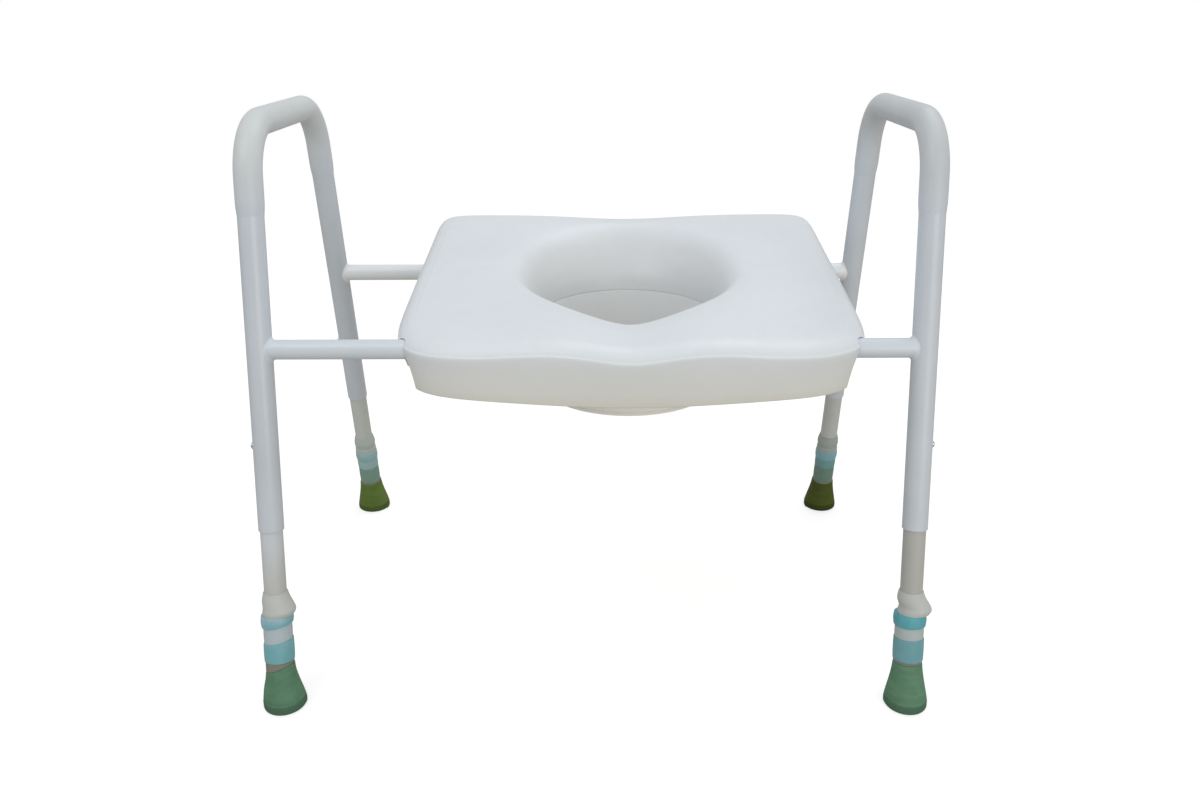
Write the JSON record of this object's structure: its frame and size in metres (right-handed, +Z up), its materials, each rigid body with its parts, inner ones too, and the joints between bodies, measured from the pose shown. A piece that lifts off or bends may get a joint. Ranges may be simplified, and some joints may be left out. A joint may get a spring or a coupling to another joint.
{
  "type": "raised toilet seat",
  "caption": "Raised toilet seat on a white tubular frame with arms, raked telescopic legs on rubber feet, and a contoured seat that slides sideways and tips up.",
  "frame": {"origin": "on the floor, under the middle of the frame", "axes": "+X along the cross rails towards the user's left as they sit, +Y to the rear, +Z up; the user sits facing -Y"},
  "size_m": [0.79, 0.5628, 0.6695],
  "materials": {
    "frame_paint": "satin powder coat, white",
    "leg_paint": "satin, grey white",
    "grip_vinyl": "smooth white vinyl sleeve",
    "collar_plastic": "moulded, grey white",
    "blue_sleeve": "soft moulded sleeve, light blue",
    "white_ring": "moulded, off white",
    "brown_ring": "grey brown",
    "green_rubber": "moulded rubber, dark green",
    "zinc_steel": "zinc plated",
    "spring_steel": "spring steel",
    "button_steel": "polished pressed steel",
    "nylon": "natural nylon",
    "seat_plastic": "smooth white moulding, soft gloss",
    "guard_plastic": "smooth, warm grey white",
    "fitting_plastic": "moulded white"
  },
  "bodies": {
    "frame": {"side_frame_left": "frame_paint", "side_frame_right": "frame_paint", "arm_grip_left": "grip_vinyl", "arm_grip_right": "grip_vinyl", "front_rail": "frame_paint", "rear_rail": "frame_paint"},
    "leg_front_left": {"front_left_leg_tube": "leg_paint", "front_left_collar": "collar_plastic", "front_left_upper_sleeve": "blue_sleeve", "front_left_spacer_ring": "white_ring", "front_left_lower_sleeve": "blue_sleeve", "front_left_retaining_ring": "brown_ring", "front_left_ferrule": "green_rubber", "front_left_ferrule_washer": "zinc_steel", "front_left_leaf_spring": "spring_steel"},
    "button_front_left": {"front_left_lock_button": "button_steel"},
    "leg_front_right": {"front_right_leg_tube": "leg_paint", "front_right_collar": "collar_plastic", "front_right_upper_sleeve": "blue_sleeve", "front_right_spacer_ring": "white_ring", "front_right_lower_sleeve": "blue_sleeve", "front_right_retaining_ring": "brown_ring", "front_right_ferrule": "green_rubber", "front_right_ferrule_washer": "zinc_steel", "front_right_leaf_spring": "spring_steel"},
    "button_front_right": {"front_right_lock_button": "button_steel"},
    "leg_rear_left": {"rear_left_leg_tube": "leg_paint", "rear_left_collar": "collar_plastic", "rear_left_upper_sleeve": "blue_sleeve", "rear_left_spacer_ring": "white_ring", "rear_left_lower_sleeve": "blue_sleeve", "rear_left_retaining_ring": "brown_ring", "rear_left_ferrule": "green_rubber", "rear_left_ferrule_washer": "zinc_steel", "rear_left_leaf_spring": "spring_steel"},
    "button_rear_left": {"rear_left_lock_button": "button_steel"},
    "leg_rear_right": {"rear_right_leg_tube": "leg_paint", "rear_right_collar": "collar_plastic", "rear_right_upper_sleeve": "blue_sleeve", "rear_right_spacer_ring": "white_ring", "rear_right_lower_sleeve": "blue_sleeve", "rear_right_retaining_ring": "brown_ring", "rear_right_ferrule": "green_rubber", "rear_right_ferrule_washer": "zinc_steel", "rear_right_leaf_spring": "spring_steel"},
    "button_rear_right": {"rear_right_lock_button": "button_steel"},
    "slider": {"rail_liner_left": "nylon", "rail_liner_right": "nylon"},
    "seat": {"seat_shell": "seat_plastic", "splash_guard": "guard_plastic", "rear_hook_left": "fitting_plastic", "rear_hook_right": "fitting_plastic", "front_clip_left": "fitting_plastic", "front_clip_right": "fitting_plastic", "fitting_screws": "zinc_steel"}
  },
  "joints": [
    {"name": "front_left_leg_slide", "type": "slide", "parent": "frame", "child": "leg_front_left", "axis": [0, -0.1857, -0.9826], "range_m": [-0.075, 0.075]},
    {"name": "front_right_leg_slide", "type": "slide", "parent": "frame", "child": "leg_front_right", "axis": [0, -0.1857, -0.9826], "range_m": [-0.075, 0.075]},
    {"name": "rear_left_leg_slide", "type": "slide", "parent": "frame", "child": "leg_rear_left", "axis": [0, 0.1857, -0.9826], "range_m": [-0.075, 0.075]},
    {"name": "rear_right_leg_slide", "type": "slide", "parent": "frame", "child": "leg_rear_right", "axis": [0, 0.1857, -0.9826], "range_m": [-0.075, 0.075]},
    {"name": "front_left_button_press", "type": "slide", "parent": "leg_front_left", "child": "button_front_left", "axis": [1, 0, 0], "range_m": [0, 0.0044], "stiffness_N_per_m": 2000, "springref_m": -0.002, "deforming": ["front_left_leaf_spring"]},
    {"name": "front_right_button_press", "type": "slide", "parent": "leg_front_right", "child": "button_front_right", "axis": [-1, 0, 0], "range_m": [0, 0.0044], "stiffness_N_per_m": 2000, "springref_m": -0.002, "deforming": ["front_right_leaf_spring"]},
    {"name": "rear_left_button_press", "type": "slide", "parent": "leg_rear_left", "child": "button_rear_left", "axis": [1, 0, 0], "range_m": [0, 0.0044], "stiffness_N_per_m": 2000, "springref_m": -0.002, "deforming": ["rear_left_leaf_spring"]},
    {"name": "rear_right_button_press", "type": "slide", "parent": "leg_rear_right", "child": "button_rear_right", "axis": [-1, 0, 0], "range_m": [0, 0.0044], "stiffness_N_per_m": 2000, "springref_m": -0.002, "deforming": ["rear_right_leaf_spring"]},
    {"name": "seat_shift", "type": "slide", "parent": "frame", "child": "slider", "axis": [1, 0, 0], "range_m": [-0.123, 0.035]},
    {"name": "seat_tilt", "type": "hinge", "parent": "slider", "child": "seat", "pos_m": [0.044, 0.17721, 0.417], "axis": [-1, 0, 0], "range_deg": [0, 90]}
  ]
}
